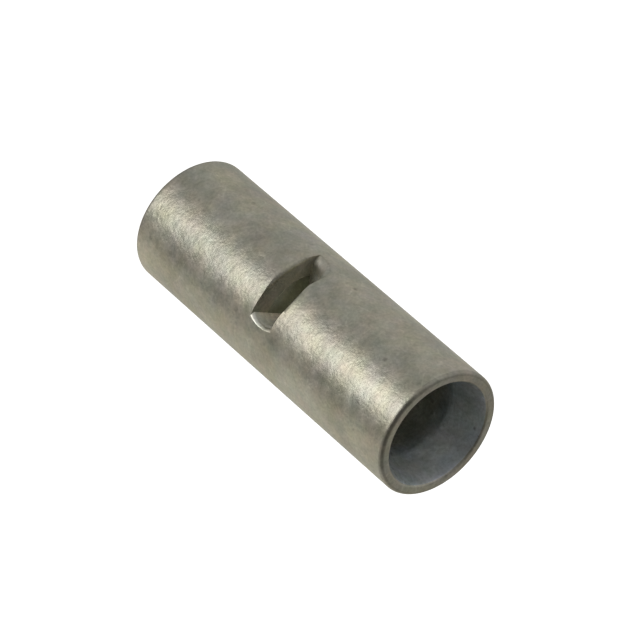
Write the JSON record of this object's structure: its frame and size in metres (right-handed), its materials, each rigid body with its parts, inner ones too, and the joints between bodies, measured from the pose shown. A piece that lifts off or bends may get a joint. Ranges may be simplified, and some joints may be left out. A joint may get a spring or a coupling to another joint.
{
  "type": "butt splice connector",
  "caption": "Bare tinned copper crimp barrel that joins two wires end to end, with a bevelled mouth at each end and a stop strip pressed into the wall at mid-length.",
  "frame": {"origin": "centre of the lower end face, on the barrel's axis", "axes": "+Z along the barrel's axis, towards the upper mouth; the pressed wire stop faces -Y"},
  "size_m": [0.0052, 0.0052, 0.0152],
  "materials": {
    "tinned_copper": "dull matt tin plating over copper, lightly tumbled"
  },
  "bodies": {
    "root": {"splice_barrel": "tinned_copper"}
  },
  "joints": []
}
